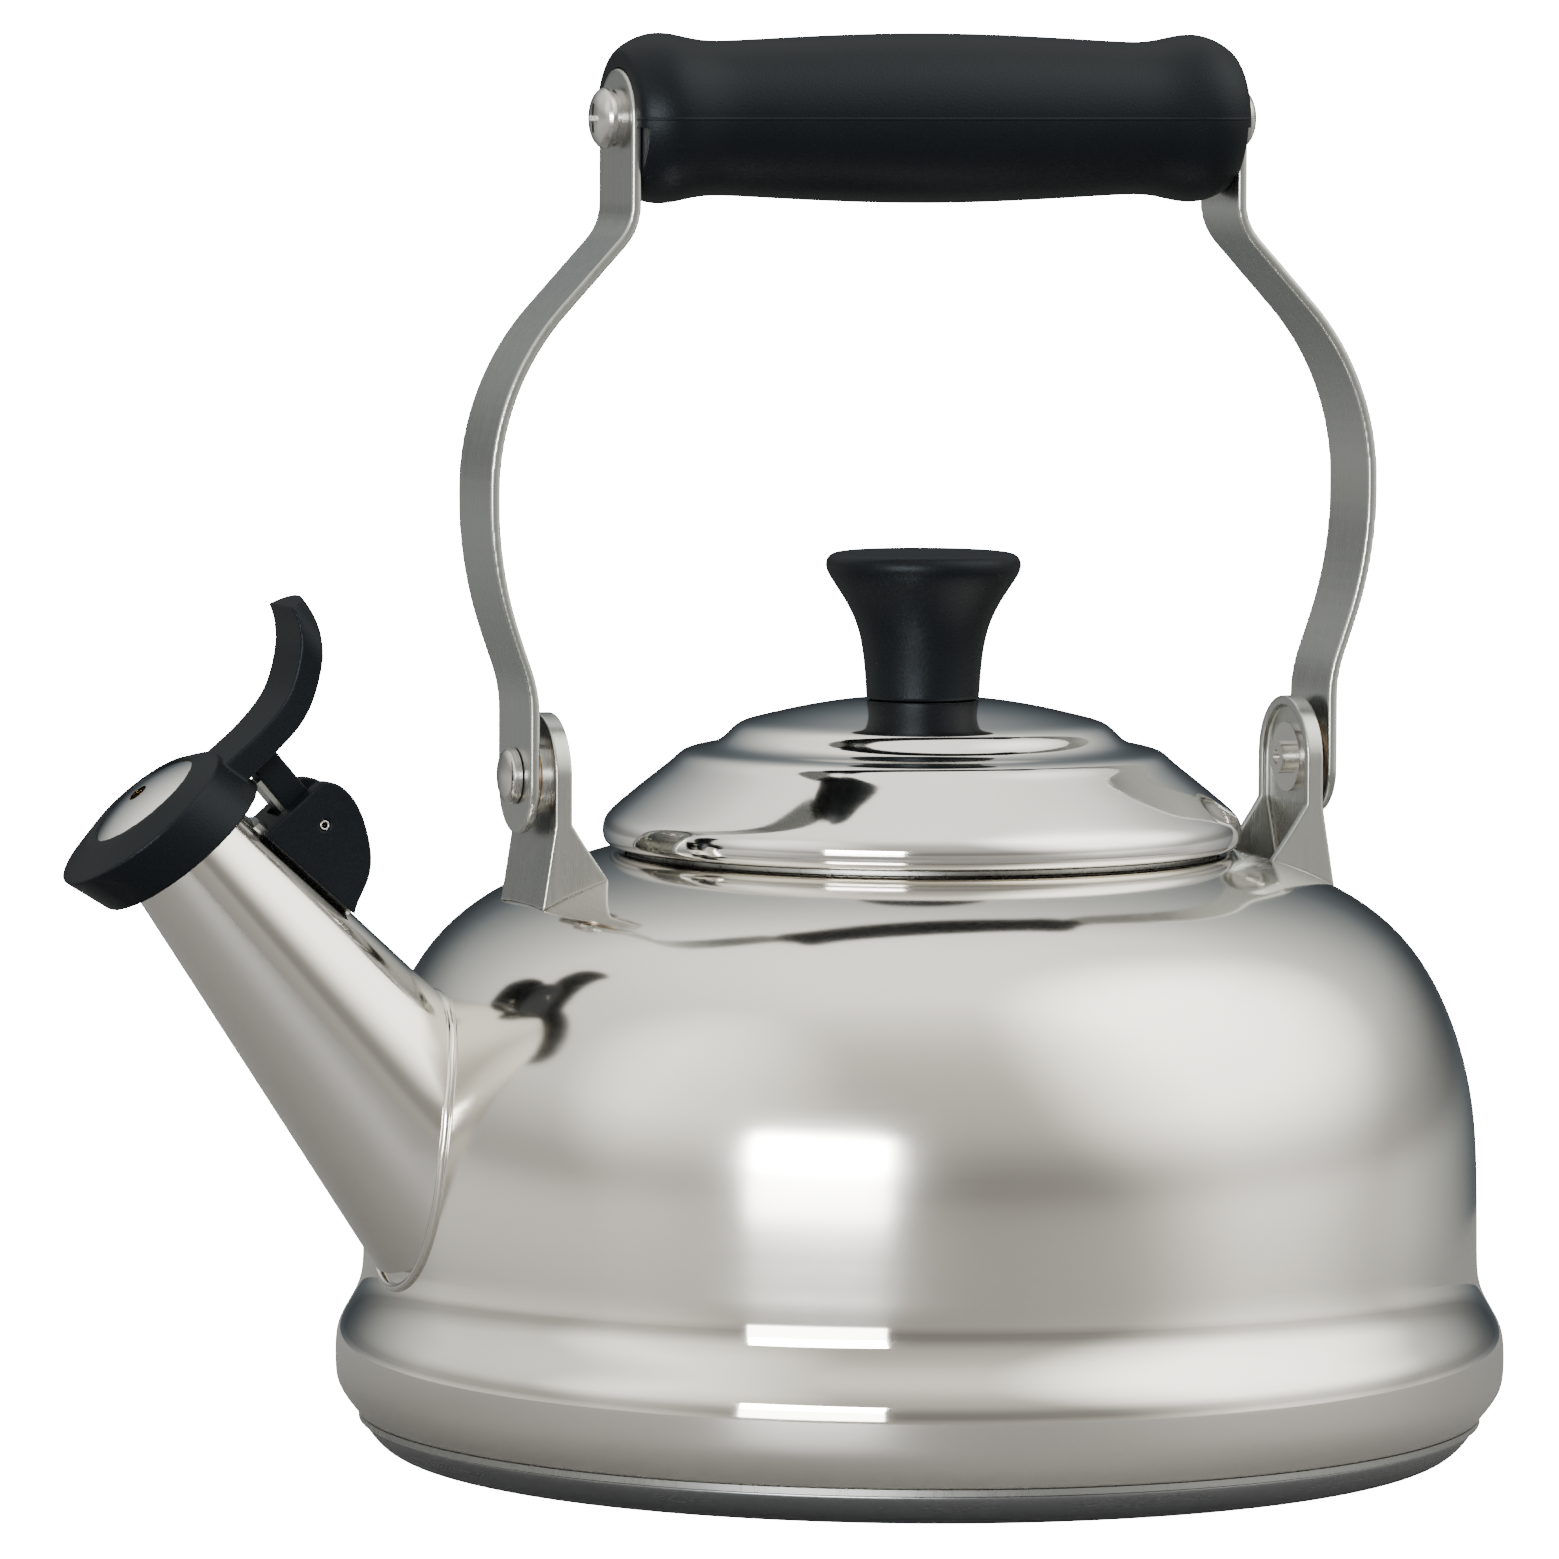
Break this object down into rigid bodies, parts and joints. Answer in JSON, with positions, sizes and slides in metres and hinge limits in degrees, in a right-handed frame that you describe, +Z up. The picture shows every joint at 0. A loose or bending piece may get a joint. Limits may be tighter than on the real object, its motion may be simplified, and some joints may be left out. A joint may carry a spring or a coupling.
{
  "type": "stovetop whistling kettle",
  "caption": "Round-shouldered steel stovetop kettle with a tapered spout, lever-opened whistle cap, lift-off lid and a folding bail handle with a turned grip.",
  "frame": {"origin": "on the body's axis at the underside of the base", "axes": "+Z up along the body's axis; the spout points along -X; the kettle is symmetric about the XZ plane"},
  "size_m": [0.2395, 0.19, 0.2297],
  "materials": {
    "stainless_polished": "mirror-polished stainless steel",
    "stainless_satin": "satin stainless steel",
    "black_moulded": "fine-grained moulded black",
    "aluminium_core": "bonded, as rolled",
    "brass_insert": "machined",
    "bronze_washers": "stamped bronze",
    "steel_fittings": "bright nickel-plated steel"
  },
  "bodies": {
    "kettle": {"body_shell": "stainless_polished", "base_floor": "stainless_satin", "base_core": "aluminium_core", "base_cap": "stainless_satin", "spout_tube": "stainless_polished", "ear_right": "stainless_satin", "ear_left": "stainless_satin", "pivot_rivets": "steel_fittings", "pivot_spacers": "steel_fittings", "pivot_friction_washers": "bronze_washers", "pivot_outer_washers": "steel_fittings", "pivot_inner_washers": "steel_fittings", "torsion_spring": "steel_fittings", "hinge_block": "black_moulded", "hinge_rivet": "steel_fittings", "hinge_saddle": "stainless_satin", "hinge_pin": "steel_fittings"},
    "handle": {"strap_right": "stainless_satin", "strap_left": "stainless_satin", "handle_grip": "black_moulded", "grip_core_rod": "steel_fittings", "grip_flat_washers": "steel_fittings", "grip_spring_washers": "steel_fittings", "grip_screws": "steel_fittings"},
    "lid": {"lid_shell": "stainless_polished", "lid_skirt": "stainless_satin", "knob": "black_moulded", "knob_insert": "brass_insert", "knob_washer": "stainless_satin", "knob_screw": "stainless_satin"},
    "whistle": {"whistle_cap": "black_moulded", "whistle_front_disc": "stainless_polished", "whistle_back_disc": "stainless_satin", "whistle_spacer": "brass_insert", "arm_strip": "steel_fittings"}
  },
  "joints": [
    {"name": "handle_fold", "type": "hinge", "parent": "kettle", "child": "handle", "pos_m": [0, 0, 0.1112], "axis": [1, 0, 0], "range_deg": [-90, 90]},
    {"name": "lid_lift", "type": "slide", "parent": "kettle", "child": "lid", "axis": [0, 0, 1], "range_m": [0, 0.05]},
    {"name": "whistle_open", "type": "hinge", "parent": "kettle", "child": "whistle", "pos_m": [-0.10421, 0, 0.10468], "axis": [0, 1, 0], "range_deg": [0, 48], "stiffness_Nm_per_rad": 0.02, "springref_deg": -57.3}
  ]
}
